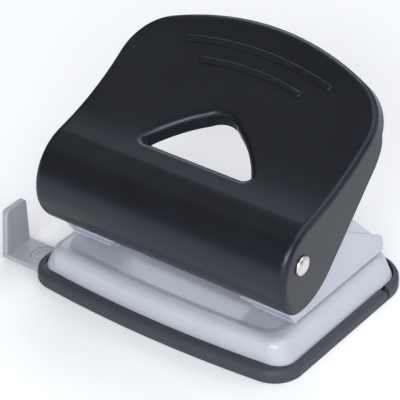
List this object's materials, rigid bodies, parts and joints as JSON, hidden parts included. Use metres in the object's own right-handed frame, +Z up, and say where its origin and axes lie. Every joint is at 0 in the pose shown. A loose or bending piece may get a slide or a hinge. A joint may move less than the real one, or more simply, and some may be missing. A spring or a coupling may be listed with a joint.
{
  "type": "hole punch",
  "caption": "Desk paper punch: pressed lever on a riveted axle drives sprung pins through a pressed base into a hinged chip tray, with a sliding paper guide.",
  "frame": {"origin": "centre of the chip tray's underside, on the table", "axes": "+X to the punch's right as the user faces it with the lever's hinge nearest, +Y from the hinge side to the lever's grip, +Z up"},
  "size_m": [0.1351, 0.094, 0.0943],
  "materials": {
    "lever_paint": "satin black stoved paint over pressed steel",
    "frame_paint": "glossy light grey-blue paint over pressed steel",
    "tray_plastic": "dark grey moulded plastic, fine grain",
    "guide_plastic": "light grey moulded plastic, fine grain",
    "axle_steel": "bright nickel-plated, riveted ends",
    "tool_steel": "ground and hardened",
    "spring_steel": "drawn wire, oiled",
    "bush_brass": "turned",
    "cam_nylon": "natural nylon, slightly waxy",
    "rivet_steel": "zinc plated"
  },
  "bodies": {
    "base": {"base_plate": "frame_paint", "punch_frame": "frame_paint", "frame_rivets": "rivet_steel", "paper_stop": "frame_paint", "pivot_axle": "axle_steel", "pivot_spacer_left": "cam_nylon", "pivot_spacer_right": "cam_nylon", "die_left": "tool_steel", "die_right": "tool_steel", "guide_bush_left": "bush_brass", "guide_bush_right": "bush_brass", "pin_spring_left": "spring_steel", "pin_spring_right": "spring_steel"},
    "lever": {"lever": "lever_paint", "press_cam_left": "cam_nylon", "press_cam_right": "cam_nylon"},
    "pin_left": {"punch_pin_left": "tool_steel", "retaining_ring_left": "spring_steel"},
    "pin_right": {"punch_pin_right": "tool_steel", "retaining_ring_right": "spring_steel"},
    "tray": {"chip_tray": "tray_plastic"},
    "guide": {"paper_guide": "guide_plastic"}
  },
  "joints": [
    {"name": "lever_hinge", "type": "hinge", "parent": "base", "child": "lever", "pos_m": [0, -0.0296, 0.0457], "axis": [-1, 0, 0], "range_deg": [0, 22.9], "stiffness_Nm_per_rad": 0.3, "springref_deg": -68.75},
    {"name": "pin_left_slide", "type": "slide", "parent": "base", "child": "pin_left", "axis": [0, 0, -1], "range_m": [0, 0.0056], "deforming": ["pin_spring_left"]},
    {"name": "pin_right_slide", "type": "slide", "parent": "base", "child": "pin_right", "axis": [0, 0, -1], "range_m": [0, 0.0056], "deforming": ["pin_spring_right"]},
    {"name": "tray_hinge", "type": "hinge", "parent": "base", "child": "tray", "pos_m": [0, -0.0446, 0.005], "axis": [-1, 0, 0], "range_deg": [0, 75]},
    {"name": "guide_slide", "type": "slide", "parent": "tray", "child": "guide", "axis": [-1, 0, 0], "range_m": [-0.012, 0.06]}
  ],
  "couplings": [
    {"joint": "pin_left_slide", "follows": "lever_hinge", "m_per_rad": 0.014},
    {"joint": "pin_right_slide", "follows": "lever_hinge", "m_per_rad": 0.014}
  ]
}
